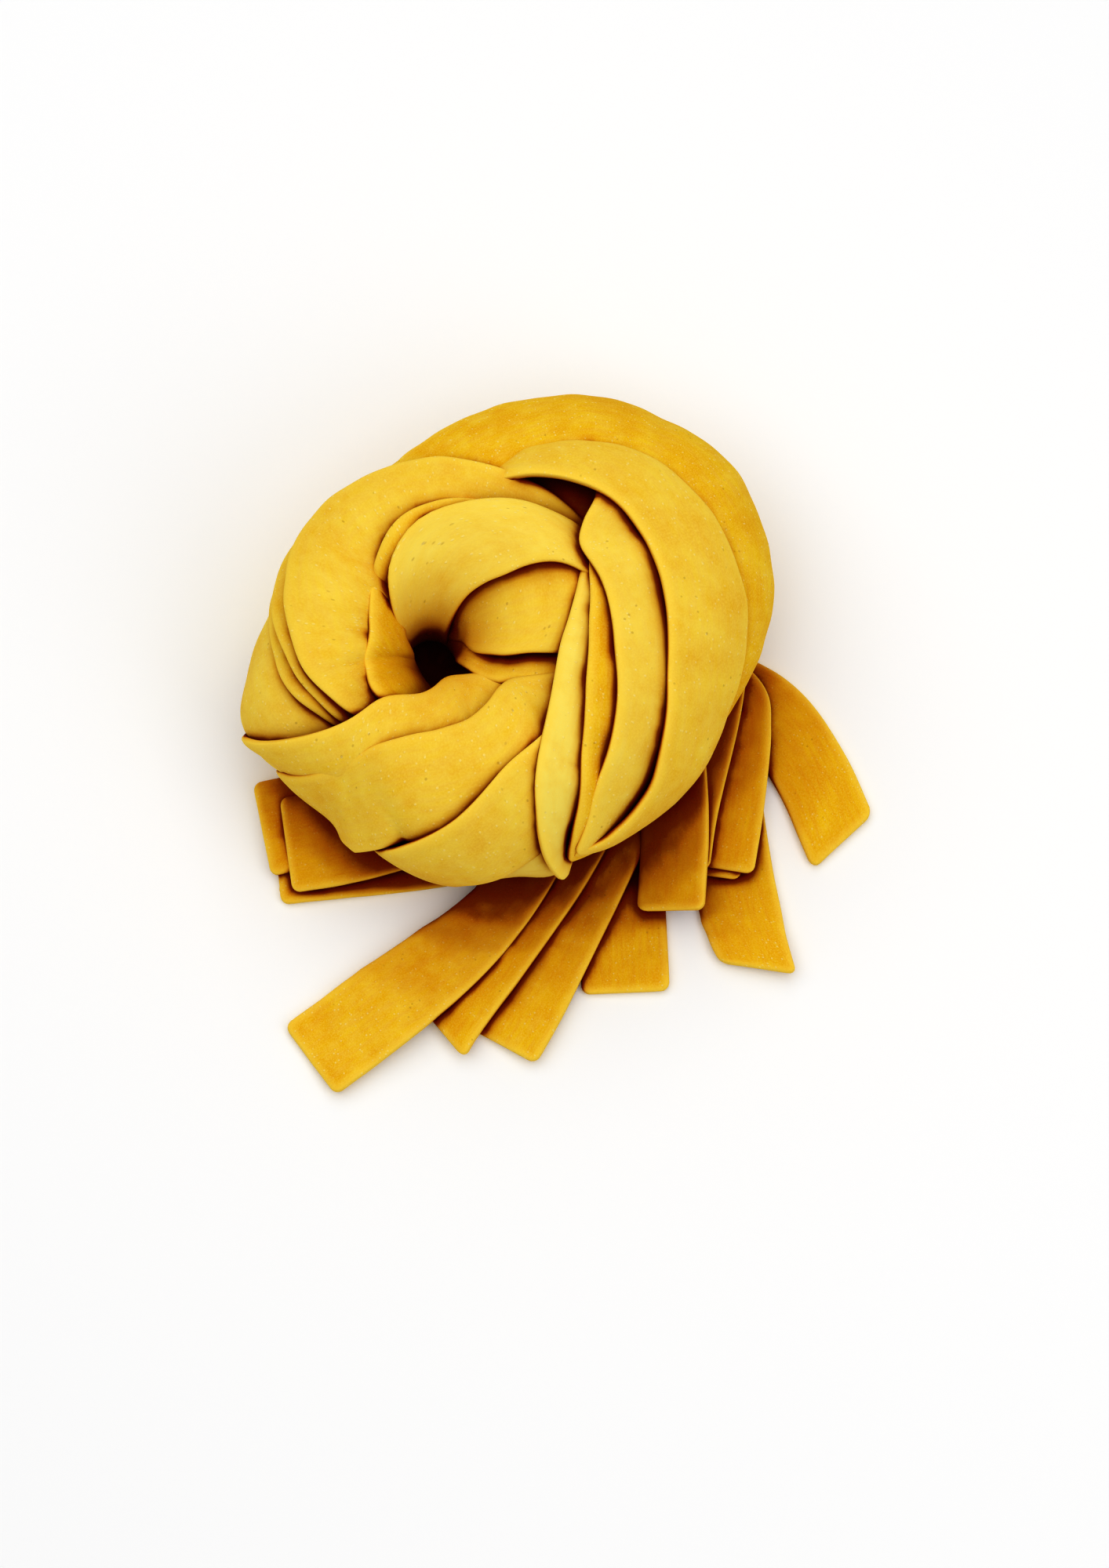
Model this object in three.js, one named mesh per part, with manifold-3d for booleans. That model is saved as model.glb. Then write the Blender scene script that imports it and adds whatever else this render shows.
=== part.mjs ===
// A nest of wide flat egg-pasta ribbons: a fat, lopsided roll of ribbons wound round a small
// eye, with the cut ends fanned out in front on the table.  Millimetres, +Z up, -Y to the front.
//
// Every ribbon is one strip of constant thickness.  A ribbon of the roll is laid on the roll's
// surface like a bandage: each of its stations gives the angle round the nest, the angle round
// the roll, and how many ribbons lie under it there.  A loose end is laid on the table in the
// same way, with stations in millimetres.  All ribbons are fused with a smaller core.

import * as THREE from "three";
import { mergeVertices } from "three/addons/utils/BufferGeometryUtils.js";
import Module from "manifold-3d";

// ---- driving dimensions ---------------------------------------------------------------------
const RIBBON_WIDTH = 18; // a 20 mm cut, shrunk by drying
const LAYER = 2; // thickness of one ribbon
const EYE = [-25, 16.5]; // axis of the hole, off the middle of the nest
const EYE_RADIUS = 9; // bare hole, before ribbons line it
const MIDDLE = [-8.5, 22]; // middle of the nest's oval
const OVAL = [52.4, 42.2]; // half length and half width of the oval under the ribbons
const OVAL_TURN = 35; // degrees from +X to the oval's long axis
const WAIST = 20; // height at which the roll is widest
const FOOT = 2; // lowest height of the roll under its ribbons
const CREST = 38; // mean height of the roll's top
const CREST_SWING = 3; // the crest is this much higher on one side, lower on the other
const CREST_SIDE = 20; // degrees round the nest to the high side
const DENTS = [
  // places where the oval is dented or swollen: degrees, half width in degrees, mm outwards
  [243, 17, -4.5],
  [198, 12, 1.5],
  [280, 14, 1.5],
];
const CORE_INSET = 2.5; // the core lies this many layers under the roll's surface
const EYE_FLOOR = 10; // height of the hole's bottom
const CORE_FLOOR = 1; // height of the core's flat underside
const STEP_ALONG = 6.6; // length of one facet along a ribbon
const FACETS_ACROSS = 4; // facets across a ribbon
const SLANT_LENGTH = 16; // over which a slanted end is drawn out
const STEADY_LENGTH = 7; // over which the direction across a ribbon is evened out
const TABLE_MIDDLE = [0.56, 0.39]; // middle of the finished footprint, in the frame of the stations

// ---- the two surfaces that ribbons are laid on ----------------------------------------------
const rad = THREE.MathUtils.degToRad;

// Distance from the eye's axis to the outside of the roll in one direction: where a ray meets
// the oval, plus the dents.
function reach(theta) {
  const c = Math.cos(rad(OVAL_TURN));
  const s = Math.sin(rad(OVAL_TURN));
  const dx = EYE[0] - MIDDLE[0];
  const dy = EYE[1] - MIDDLE[1];
  const px = (dx * c + dy * s) / OVAL[0];
  const py = (-dx * s + dy * c) / OVAL[1];
  const ux = (Math.cos(theta) * c + Math.sin(theta) * s) / OVAL[0];
  const uy = (-Math.cos(theta) * s + Math.sin(theta) * c) / OVAL[1];
  const a = ux * ux + uy * uy;
  const b = px * ux + py * uy;
  const k = px * px + py * py - 1;
  let r = (-b + Math.sqrt(b * b - a * k)) / a;
  for (const [at, half, out] of DENTS) {
    const off = theta - rad(at);
    const turn = Math.atan2(Math.sin(off), Math.cos(off)) / rad(half);
    r += out * Math.exp(-turn * turn);
  }
  return r;
}

// The roll: theta round the nest, phi round the roll (0 outside, 90 degrees on the crest,
// 180 degrees in the eye).
function roll(theta, phi) {
  const far = reach(theta);
  const r = (far + EYE_RADIUS) / 2 + ((far - EYE_RADIUS) / 2) * Math.cos(phi);
  const crest = CREST + CREST_SWING * Math.cos(theta - rad(CREST_SIDE));
  const rise = Math.sin(phi);
  const z = WAIST + (rise > 0 ? crest - WAIST : WAIST - FOOT) * rise;
  return new THREE.Vector3(EYE[0] + r * Math.cos(theta), EYE[1] + r * Math.sin(theta), z);
}

function table(x, y) {
  return new THREE.Vector3(x, y, 0);
}

// The two directions along the surface and its outward normal at (p, q).
function frame(surface, p, q) {
  const e = 1e-3;
  const alongP = surface(p + e, q).sub(surface(p - e, q)).divideScalar(2 * e);
  const alongQ = surface(p, q + e).sub(surface(p, q - e)).divideScalar(2 * e);
  const normal = new THREE.Vector3().crossVectors(alongP, alongQ).normalize();
  return { alongP, alongQ, normal };
}

// ---- curves through stations ----------------------------------------------------------------
// A Catmull-Rom curve through rows of numbers; t runs from 0 to the number of spans.
function through(rows, t) {
  const last = rows.length - 1;
  const i = Math.min(Math.floor(t), last - 1);
  const u = t - i;
  const at = (k, j) => {
    if (k < 0) return 2 * rows[0][j] - rows[1][j];
    if (k > last) return 2 * rows[last][j] - rows[last - 1][j];
    return rows[k][j];
  };
  return rows[0].map((_, j) => {
    const [a, b, c, d] = [at(i - 1, j), at(i, j), at(i + 1, j), at(i + 2, j)];
    return b + 0.5 * u * (c - a + u * (2 * a - 5 * b + 4 * c - d + u * (3 * (b - c) + d - a)));
  });
}

// Rows evenly spaced in length along the curve, with the length so far as a last number.
function walk(surface, rows, step) {
  const fine = [];
  const spans = (rows.length - 1) * 24;
  let length = 0;
  for (let i = 0; i <= spans; i++) {
    const row = through(rows, i / 24);
    const point = surface(row[0], row[1]);
    if (i > 0) length += point.distanceTo(fine[i - 1].point);
    fine.push({ row, point, length });
  }
  const count = Math.max(2, Math.round(length / step));
  const out = [];
  for (let i = 0, k = 0; i <= count; i++) {
    const want = (length * i) / count;
    while (k < spans - 1 && fine[k + 1].length < want) k++;
    const f = (want - fine[k].length) / (fine[k + 1].length - fine[k].length || 1);
    const row = fine[k].row.map((v, j) => v + (fine[k + 1].row[j] - v) * Math.min(f, 1));
    out.push({ row, part: i / count, left: length - want });
  }
  return out;
}

// A value that changes along a ribbon: one number for all of it, or pairs of (part of the
// length, value) with straight lines between.
function profile(pairs, part) {
  if (!Array.isArray(pairs)) return pairs;
  for (let i = 1; i < pairs.length; i++) {
    const [t0, v0] = pairs[i - 1];
    const [t1, v1] = pairs[i];
    if (part <= t1) return v0 + ((v1 - v0) * (part - t0)) / (t1 - t0);
  }
  return pairs[pairs.length - 1][1];
}

// ---- one ribbon -----------------------------------------------------------------------------
// Walks across the surface from (p, q), starting in a given direction and keeping as straight
// as the surface allows.
function march(surface, p, q, direction, distance) {
  const steps = Math.max(1, Math.ceil(distance / 1.5));
  const heading = direction.clone();
  for (let i = 0; i < steps; i++) {
    const { alongP, alongQ } = frame(surface, p, q);
    const pp = alongP.dot(alongP);
    const pq = alongP.dot(alongQ);
    const qq = alongQ.dot(alongQ);
    const hp = (alongP.dot(heading) * distance) / steps;
    const hq = (alongQ.dot(heading) * distance) / steps;
    const det = pp * qq - pq * pq;
    p += (hp * qq - hq * pq) / det;
    q += (pp * hq - pq * hp) / det;
    const { normal } = frame(surface, p, q);
    heading.addScaledVector(normal, -normal.dot(heading)).normalize();
  }
  return [p, q];
}

// The directions along and across a ribbon at each row of its path.  Those across are averaged
// with their neighbours by a bell curve, so that the rows don't cross inside a tight bend.
function directions(surface, path) {
  const raw = path.map(({ row }, i) => {
    const before = path[Math.max(i - 1, 0)].row;
    const after = path[Math.min(i + 1, path.length - 1)].row;
    const ahead = surface(after[0], after[1]).sub(surface(before[0], before[1])).normalize();
    const { normal } = frame(surface, row[0], row[1]);
    return { ahead, toLeft: new THREE.Vector3().crossVectors(normal, ahead).normalize() };
  });
  return raw.map(({ ahead }, i) => {
    const toLeft = new THREE.Vector3();
    raw.forEach((other, k) => {
      const apart = (path[k].left - path[i].left) / STEADY_LENGTH;
      toLeft.addScaledVector(other.toLeft, Math.exp(-apart * apart));
    });
    return { ahead, toLeft: toLeft.normalize() };
  });
}

// Grid of surface places, layers below and shift for a ribbon: one row for each step along it,
// from its right edge to its left edge, seen from outside and looking along it.
function layOut(strand) {
  const { surface, stations, edge, width = RIBBON_WIDTH, slant = 0 } = strand;
  const { bank = 0, flare = 0, narrowing = 1 } = strand;
  const unit = surface === roll ? rad(1) : 1;
  const angles = edge === "both" ? 4 : 2;
  const rows = stations.map((r) => r.map((v, j) => (j < angles ? v * unit : v)));
  const path = walk(surface, rows, STEP_ALONG);
  const ways = directions(surface, path);
  return path.map(({ row, part, left }, i) => {
    const line = [];
    const { ahead, toLeft } = ways[i];
    const wide = width * profile(narrowing, part);
    for (let j = 0; j <= FACETS_ACROSS; j++) {
      const v = (2 * j) / FACETS_ACROSS - 1; // -1 right edge, +1 left edge
      const far = edge === "left" ? (1 - v) / 2 : (1 + v) / 2;
      let p, q;
      if (edge === "both") {
        p = row[0] * (1 - far) + row[2] * far;
        q = row[1] * (1 - far) + row[3] * far;
      } else {
        const away = toLeft.clone().multiplyScalar(edge === "left" ? -1 : 1);
        [p, q] = march(surface, row[0], row[1], away, far * wide);
      }
      const h = row[angles] + profile(bank, part) * v + profile(flare, part) * far * far;
      const cut = slant * far * Math.max(0, 1 - left / SLANT_LENGTH);
      line.push({ p, q, h, shift: ahead.clone().multiplyScalar(cut) });
    }
    return line;
  });
}

// A closed solid between an upper and a lower skin on the same grid.
function slab(upper, lower) {
  const across = upper[0].length;
  const points = [...upper.flat(), ...lower.flat()];
  const under = upper.length * across;
  const at = (i, j) => i * across + j;
  const index = [];
  const quad = (a, b, c, d) => index.push(a, b, c, a, c, d);
  for (let i = 0; i + 1 < upper.length; i++) {
    for (let j = 0; j + 1 < across; j++) {
      quad(at(i, j), at(i + 1, j), at(i + 1, j + 1), at(i, j + 1));
      quad(under + at(i, j), under + at(i, j + 1), under + at(i + 1, j + 1), under + at(i + 1, j));
    }
    const l = across - 1;
    quad(at(i, 0), under + at(i, 0), under + at(i + 1, 0), at(i + 1, 0));
    quad(at(i, l), at(i + 1, l), under + at(i + 1, l), under + at(i, l));
  }
  const e = upper.length - 1;
  for (let j = 0; j + 1 < across; j++) {
    quad(at(0, j), at(0, j + 1), under + at(0, j + 1), under + at(0, j));
    quad(at(e, j), under + at(e, j), under + at(e, j + 1), at(e, j + 1));
  }
  const geometry = new THREE.BufferGeometry();
  geometry.setAttribute(
    "position",
    new THREE.Float32BufferAttribute(points.flatMap((v) => [v.x, v.y, v.z]), 3),
  );
  geometry.setIndex(index);
  return geometry;
}

// The solid of one ribbon.  On the roll it reaches down into the core, so that nothing hollow
// is left under it; on the table it keeps its own thickness.
function ribbon(strand) {
  const { surface } = strand;
  const grid = layOut(strand);
  const skin = (height) =>
    grid.map((line) =>
      line.map(({ p, q, h, shift }) => {
        const point = surface(p, q).add(shift);
        point.addScaledVector(frame(surface, p, q).normal, height(h) * LAYER);
        point.z = Math.max(point.z, 0);
        return point;
      }),
    );
  const bottom = surface === roll ? () => -CORE_INSET - 0.6 : (h) => Math.max(h - 0.15, 0);
  return slab(skin((h) => h + 1), skin(bottom));
}

// ---- the core ---------------------------------------------------------------------------------
// The roll without its ribbons, closed over the bottom of the eye and flat underneath.
function core() {
  const around = 40;
  const rings = [];
  const inset = CORE_INSET * LAYER;
  for (let deg = 180; deg >= -50; deg -= 23) {
    const ring = [];
    for (let i = 0; i < around; i++) {
      const theta = (2 * Math.PI * i) / around;
      const { normal } = frame(roll, theta, rad(deg));
      const point = roll(theta, rad(deg)).addScaledVector(normal, -inset);
      ring.push(point);
    }
    rings.push(ring);
  }
  const flat = (ring, z, scale) =>
    ring.map((v) => new THREE.Vector3(
      EYE[0] + (v.x - EYE[0]) * scale, EYE[1] + (v.y - EYE[1]) * scale, z));
  const eyeFloor = flat(rings[0], EYE_FLOOR, 0.8);
  const underside = flat(rings[rings.length - 1], CORE_FLOOR, 0.94);
  const skins = [eyeFloor, ...rings, underside];
  const points = skins.flat();
  const top = points.push(new THREE.Vector3(EYE[0], EYE[1], EYE_FLOOR)) - 1;
  const low = points.push(new THREE.Vector3(EYE[0], EYE[1], CORE_FLOOR)) - 1;
  const index = [];
  for (let i = 0; i < around; i++) {
    const n = (i + 1) % around;
    index.push(top, i, n);
    for (let k = 0; k + 1 < skins.length; k++) {
      const a = k * around;
      const b = a + around;
      index.push(a + i, b + i, b + n, a + i, b + n, a + n);
    }
    const z = (skins.length - 1) * around;
    index.push(low, z + n, z + i);
  }
  const geometry = new THREE.BufferGeometry();
  geometry.setAttribute(
    "position",
    new THREE.Float32BufferAttribute(points.flatMap((v) => [v.x, v.y, v.z]), 3),
  );
  geometry.setIndex(index);
  return geometry;
}

// ---- the ribbons ------------------------------------------------------------------------------
// Stations on the roll: degrees round the nest, degrees round the roll, layers below.  Stations
// on the table: x, y, layers below.  "edge" says which edge of the ribbon the stations follow,
// looking along it; "both" gives angles for the right edge and then for the left one.  "bank"
// lifts the left edge and lowers the right one, in layers, and "flare" lifts the far edge alone.
const onRoll = (edge, stations, more = {}) => ({ surface: roll, edge, stations, ...more });
const onTable = (stations, more = {}) => ({ surface: table, edge: "left", stations, ...more });

// Stations on the table round the nest's middle, clockwise between two angles in degrees.
function tableArc(radius, start, end) {
  return [0, 1, 2, 3, 4, 5, 6].map((i) => {
    const turn = rad(start + ((end - start) * i) / 6);
    return [MIDDLE[0] + radius * Math.cos(turn), MIDDLE[1] + radius * Math.sin(turn), 0];
  });
}

const strands = {
  // Round the outside, the back and the foot.
  backBand: onRoll("left", [
    [128, 80, -1.4], [114, 62, -0.7], [102, 50, 0.1], [88, 42, 0.6], [67, 26, 1], [48, 13, 1],
    [28, 6, 1], [10, 0, 0.6], [-10, -6, -0.2], [-28, -14, -0.6],
  ], { bank: 0.3 }),
  leftFlank: onRoll("right", [
    [236, 66, -2], [222, 72, -0.8], [205, 69, 0.2], [188, 59, 0.8], [172, 36, 0.7], [156, 14, 0.6],
    [138, 0, 0.4], [120, -8, -0.2],
  ], { bank: 1 }),
  low1: onRoll("left", [
    [150, -36, -1.2], [105, -24, -0.6], [60, -22, -0.2], [0, -30, -0.2], [-24, -40, -0.4],
  ]),
  low2: onRoll("left", [[135, -78, 0], [105, -66, 0], [60, -60, 0], [15, -66, 0], [-10, -80, -0.4]]),
  low3: onRoll("left", [[240, -44, -0.9], [190, -42, -0.6], [140, -28, -0.8], [118, -14, -1.2]]),
  low4: onRoll("left", [[235, -80, -0.2], [205, -74, 0], [175, -72, 0], [150, -78, -0.2]]),
  low5: onRoll("left", [
    [196, 36, -1], [178, 25, -0.5], [156, 11, -0.4], [134, 5, -0.4], [110, 6, -0.6],
  ]),
  low6: onRoll("right", [
    [258, 74, -0.8], [248, 48, -0.5], [240, 22, -0.4], [235, -5, -0.4], [230, -32, -0.4],
    [226, -56, -0.4],
  ]),
  // Up the left side and over the top.
  left3: onRoll("left", [
    [238, 70, -1.9], [222, 73, -0.8], [205, 65, 0.4], [186, 50, 0.9], [168, 34, 0.9], [150, 24, 0.7],
    [132, 28, 0.3], [112, 48, -0.3], [98, 66, -0.8], [86, 76, -1.2],
  ]),
  left2: onRoll("left", [
    [240, 80, -1.6], [226, 80, -0.2], [208, 77, 1.3], [190, 68, 1.9], [172, 52, 2], [156, 40, 1.9],
    [138, 38, 1.5], [118, 50, 0.9], [100, 66, 0.4], [86, 78, -0.2],
  ]),
  left1: onRoll("left", [
    [250, 98, -1.9], [232, 90, 0.4], [215, 86, 2], [198, 80, 2.8], [180, 72, 3], [160, 63, 3],
    [140, 53, 2.8], [120, 55, 2.4], [92, 67, 1.9], [70, 80, 1.4], [54, 87, 0.5], [38, 90, -0.9],
    [24, 90, -2.4],
  ], { bank: 0.4 }),
  // The eye's wall and the swirl that rises out of it.
  eyeWall: onRoll("left", [
    [250, 106, -0.9], [232, 108, 1.2], [205, 113, 2.7], [179, 114, 3.3], [152, 110, 3.2],
    [130, 105, 2.2], [110, 104, 0.6],
  ], { bank: 0.3, narrowing: [[0, 1], [0.2, 1], [0.35, 0.66], [0.48, 0.46], [0.58, 0.36], [1, 0.3]] }),
  swirl0: onRoll("left", [
    [140, 108, 1.8], [122, 100, 2.8], [104, 94, 3.1], [86, 94, 2.6], [68, 97, 1.4],
  ], { bank: 0.3 }),
  swirl3: onRoll("right", [
    [50, 190, 1], [10, 180, 1], [-24, 164, 1.1], [-38, 142, 1], [-36, 124, 0.7], [-28, 108, 0.1],
    [-18, 92, -0.8],
  ], { bank: -0.3 }),
  swirl2: onRoll("both", [
    [80, 186, 110, 168, 0.6], [45, 174, 98, 156, 1.4], [16, 163, 90, 144, 2], [-14, 148, 80, 132, 2.3],
    [-19, 130, 68, 121, 2.4], [-13, 116, 55, 111, 2.1], [-10, 103, 44, 104, 1.5], [-6, 88, 36, 98, 0.2],
  ], { bank: 0.4 }),
  swirl1: onRoll("both", [
    [44, 196, 200, 184, 1], [46, 174, 194, 158, 1.5], [48, 160, 182, 145, 2.5],
    [51, 148, 160, 133, 3.3], [49, 138, 138, 120, 3.8], [42, 130, 120, 108, 4.1],
    [36, 124, 97, 100, 4.1], [32, 116, 74, 99, 3.8], [27, 108, 58, 98, 3.2], [21, 102, 44, 97, 2.2],
    [14, 96, 32, 94, 0.8], [4, 90, 20, 90, -0.8],
  ]),
  gapFloor: onRoll("left", [[84, 80, -1.4], [66, 74, -1.3], [48, 68, -1.3], [30, 62, -1.4]]),
  // Across the front from the eye, out over the left side.
  front1: onRoll("right", [
    [352, 88, -1.9], [342, 100, -1.6], [331, 117, -1], [322, 138, 0.2], [296, 145, 0.5],
    [266, 130, 0.7], [247, 116, 0.8], [236, 105, 0.8], [230, 88, 0.7], [221, 64, 0.6], [211, 32, -0.1],
    [204.5, 8, -0.3], [200.5, -12, -0.6],
  ], { bank: [[0, -1.2], [0.7, -1.2], [0.84, -2.2], [1, -3]] }),
  front2: onRoll("right", [
    [352, 92, -0.6], [342, 104, 0], [332, 117, 0.6], [321, 117, 1.1], [308, 111, 1.5], [296, 107, 1.8],
    [279, 104, 2], [261, 95, 1.7], [246, 77, 1], [235, 56, 0.7], [227, 34, 0.7], [219, 8, 0.7],
    [214, -12, 0.4],
  ], { bank: -0.3, flare: [[0, 0], [0.6, 0], [0.76, 3], [0.9, 2.4], [1, 1.4]] }),
  front3: onRoll("right", [
    [330, 86, 0.9], [316, 83, 1.5], [300, 77, 2.4], [284, 63, 2.6], [270, 42, 2.2], [262, 22, 1.7],
    [257, 2, 1.2], [252.5, -18, 0.9], [249, -36, 0.8],
  ], { bank: -0.4, width: 15.5 }),
  front4: onRoll("left", [[305, -10, 2.1], [300, -12, 2], [292, -16, 1.3], [280, -30, 0.6]]),
  // The right-hand bundle, stepped one over the other.
  right6: onRoll("right", [
    [60, 40, -1], [40, 34, -0.6], [18, 30, -0.4], [-2, 24, -0.6], [-20, 12, -1],
  ]),
  right5: onRoll("right", [
    [70, 70, -0.4], [48, 62, 0.2], [28, 52, 0.3], [8, 44, 0.2], [-12, 34, -0.4], [-30, 20, -0.8],
  ], { bank: -0.3 }),
  right1: onRoll("right", [
    [32, 92, 0], [18, 103, 0.9], [-4, 106, 1.2], [-24, 99, 1.2], [-42, 84, 1.4], [-53, 68, 1.8],
    [-58.4, 50, 2.2], [-60.4, 34, 2.6], [-60, 20, 2.9], [-58, 5, 3.1],
  ], { bank: -1.2, narrowing: [[0, 1], [0.7, 1], [0.84, 0.52], [0.9, 0.33], [0.95, 0.22], [1, 0.2]] }),
  right2: onRoll("right", [
    [34, 90, 0.4], [22, 98, 1.2], [8, 99, 1.5], [-5, 96, 1.6], [-22, 86, 1.6], [-38, 67, 1.6],
    [-49, 42.5, 2.1], [-53.6, 27, 2.5], [-56, 14, 2.6],
  ], {
    bank: [[0, -1.2], [0.75, -1.2], [1, -0.4]],
    narrowing: [[0, 1], [0.8, 1], [0.92, 0.75], [1, 0.4]],
  }),
  right3: onRoll("right", [
    [46, 70, 0], [39, 82, 1.3], [34, 93, 1.9], [27, 98.5, 2.2], [14, 95, 2.2], [1, 90, 2.2],
    [-12, 82, 2.1], [-30, 64.5, 2], [-42, 50, 2.2], [-48.4, 36, 2.6], [-54, 23, 3],
  ], {
    bank: [[0, -1.3], [0.75, -1.3], [1, -0.5]],
    narrowing: [[0, 1], [0.8, 1], [0.92, 0.8], [1, 0.45]],
  }),
  right4: onRoll("right", [
    [94, 87, -3.4], [84, 88, -2.4], [74, 88, -1.4], [68, 88, -0.2], [61, 87.5, 1], [54, 86, 1.9],
    [44, 84, 2.3], [34, 81, 2.5], [24, 79, 2.5], [8, 74, 2.4], [-8, 65, 2.3], [-21.5, 50.5, 2.2],
    [-34, 33, 2.4], [-45, 24.5, 2.6], [-54, 23.4, 2.6],
  ], {
    bank: -1.1,
    flare: [[0, 0], [0.82, 0], [1, -0.8]],
    narrowing: [[0, 0.2], [0.22, 0.45], [0.31, 0.68], [0.43, 0.88], [0.54, 1], [0.85, 1], [1, 0.4]],
  }),
  // Loose ends on the table.
  leftEnd3: onTable([[8, -20, 0], [-21, -26, 0], [-56, -30, 0]]),
  leftEnd1: onTable([[2, -11, 1], [-30, -18.5, 1], [-58, -24.5, 1]], { width: 20 }),
  leftEnd2: onTable([[8, -12, 2], [-36, -25, 2], [-53.5, -28.2, 1.6]], { width: 20 }),
  frontEnd4: onTable([[20, 26, 0], [22.5, -25, 0], [23.5, -48, 0]]),
  frontEnd3: onTable([
    [31, 26, 1.2], [25.5, -3, 1.6], [14, -28.5, 1.2], [2, -53, 0.6], [-3.8, -63.4, 0.3],
  ], { bank: 0.5 }),
  frontEnd2: onTable([
    [22, 8, 2.3], [10, -20.5, 2.1], [-3.5, -41.5, 1.7], [-14.6, -56.5, 0.9], [-18.3, -62.4, 0.6],
  ], { bank: 0.5, width: 12, slant: -4 }),
  frontEnd1: onTable([
    [12, 10, 2.6], [4, -18, 2.6], [-8.5, -39, 1.9], [-24.8, -55, 1.2], [-44.3, -69.8, 0.1],
  ], { bank: 0.6, narrowing: [[0, 0.72], [0.48, 0.73], [0.64, 0.9], [0.8, 1], [1, 1]] }),
  rightEnd1: onTable([
    [40, 20, 0], [43.5, -14, 0], [46.5, -32, 0.2], [47.5, -38, 0.5], [49.4, -45, 0.8],
  ], { bank: 0.3, width: 16.5, slant: -6.5, narrowing: [[0, 1], [0.8, 1], [1, 0.86]] }),
  rightEnd2: onTable([
    [24, 30, 0], [42, 21.5, 0], [52, 14, 0], [60, 1.7, 0], [65.5, -11, 0],
  ], { width: 16, slant: 6 }),
  rightEnd3: onTable([[41, 14, 1], [40.5, -6, 1], [38, -25.4, 1]], { width: 14 }),
  rightEnd4: onTable([[35, 24, 2.4], [43.3, 15, 2.1], [44.6, 6, 2], [43.2, -9, 2], [40.7, -24.6, 2]]),
  rightEnd5: onTable([
    [40, 20, 3.2], [38, 7, 3], [33.5, -12, 3], [31.6, -24, 3],
  ], { width: 11, bank: 0.2 }),
  rightEnd6: onTable([
    [28, 13, 4], [30.5, 0, 4], [31.3, -16, 3.7], [30.4, -33, 3],
  ], { width: 13.5, bank: 1.3 }),
  // Flat courses under the nest, which it stands on at the back.
  under1: onTable(tableArc(38, 180, 15)),
  under2: onTable(tableArc(19, 185, 60), { width: 15 }),
  under3: onTable([[1, -1, 0], [-22, -4, 0], [-46, -2, 0]], { width: 16 }),
};

// ---- fuse -------------------------------------------------------------------------------------
const wasm = await Module();
wasm.setup();

function solid(geometry) {
  const merged = mergeVertices(geometry, 1e-4);
  return new wasm.Manifold(
    new wasm.Mesh({
      numProp: 3,
      vertProperties: new Float32Array(merged.attributes.position.array),
      triVerts: new Uint32Array(merged.index.array),
    }),
  );
}

function volume(piece) {
  const { numProp, vertProperties: v, triVerts } = piece.getMesh();
  const point = (k) => new THREE.Vector3().fromArray(v, triVerts[k] * numProp);
  let six = 0;
  for (let k = 0; k < triVerts.length; k += 3) {
    six += point(k).dot(new THREE.Vector3().crossVectors(point(k + 1), point(k + 2)));
  }
  return six / 6;
}

// The outer skin alone: the largest piece, without the hollows sealed inside it.
let whole = solid(core());
for (const strand of Object.values(strands)) whole = whole.add(solid(ribbon(strand)));
const pieces = whole.decompose().sort((a, b) => volume(b) - volume(a));
const { numProp, vertProperties, triVerts } = pieces[0].getMesh();
if (numProp !== 3) throw new Error("a fused solid has positions alone");

const nestGeometry = new THREE.BufferGeometry();
nestGeometry.setAttribute("position", new THREE.BufferAttribute(vertProperties, 3));
nestGeometry.setIndex(new THREE.BufferAttribute(triVerts, 1));
nestGeometry.translate(-TABLE_MIDDLE[0], -TABLE_MIDDLE[1], 0);

const pasta = new THREE.MeshStandardMaterial({ color: 0xe6b422, roughness: 0.85, metalness: 0 });
const nest = new THREE.Mesh(nestGeometry, pasta);
nest.name = "pasta_nest";

const group = new THREE.Group();
group.add(nest);
export default group;
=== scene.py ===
# %% [markdown]
# # A nest of wide egg-pasta ribbons
#
# The real thing is a bundle of flat ribbons of dough, two millimetres thick, wound round a
# small eye and left to dry with its cut ends fanned out on the table. Each ribbon here is a
# mesh of its own, laid on the nest the way a bandage is laid on a wrist: it keeps its width
# and thickness, and only its path and the number of ribbons under it change.

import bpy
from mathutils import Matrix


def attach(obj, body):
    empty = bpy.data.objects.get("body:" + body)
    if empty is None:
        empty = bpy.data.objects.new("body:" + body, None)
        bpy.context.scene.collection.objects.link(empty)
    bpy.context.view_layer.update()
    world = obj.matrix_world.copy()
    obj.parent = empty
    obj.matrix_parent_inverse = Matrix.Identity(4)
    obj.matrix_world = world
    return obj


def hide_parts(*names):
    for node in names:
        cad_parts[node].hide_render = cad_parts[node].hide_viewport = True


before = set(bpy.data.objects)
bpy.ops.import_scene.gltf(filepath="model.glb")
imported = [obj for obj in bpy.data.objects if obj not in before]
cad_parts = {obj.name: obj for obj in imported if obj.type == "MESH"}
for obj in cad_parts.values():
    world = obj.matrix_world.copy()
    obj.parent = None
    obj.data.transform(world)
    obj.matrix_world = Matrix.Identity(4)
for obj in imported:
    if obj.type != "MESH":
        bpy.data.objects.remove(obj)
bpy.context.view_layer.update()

import math

import bpy
import numpy as np

MM = 0.001  # the shapes are worked out in millimetres, and Blender's unit is the metre

# %% [markdown]
# ## Driving dimensions
#
# These are the part's own sizes. The nest is a lopsided roll: an oval seen from above, with
# the eye off its middle. A plain ring would be simpler, but a nest wound by hand is never
# round. The footprint's middle is subtracted at the end, as the shared frame's origin is there.

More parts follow.
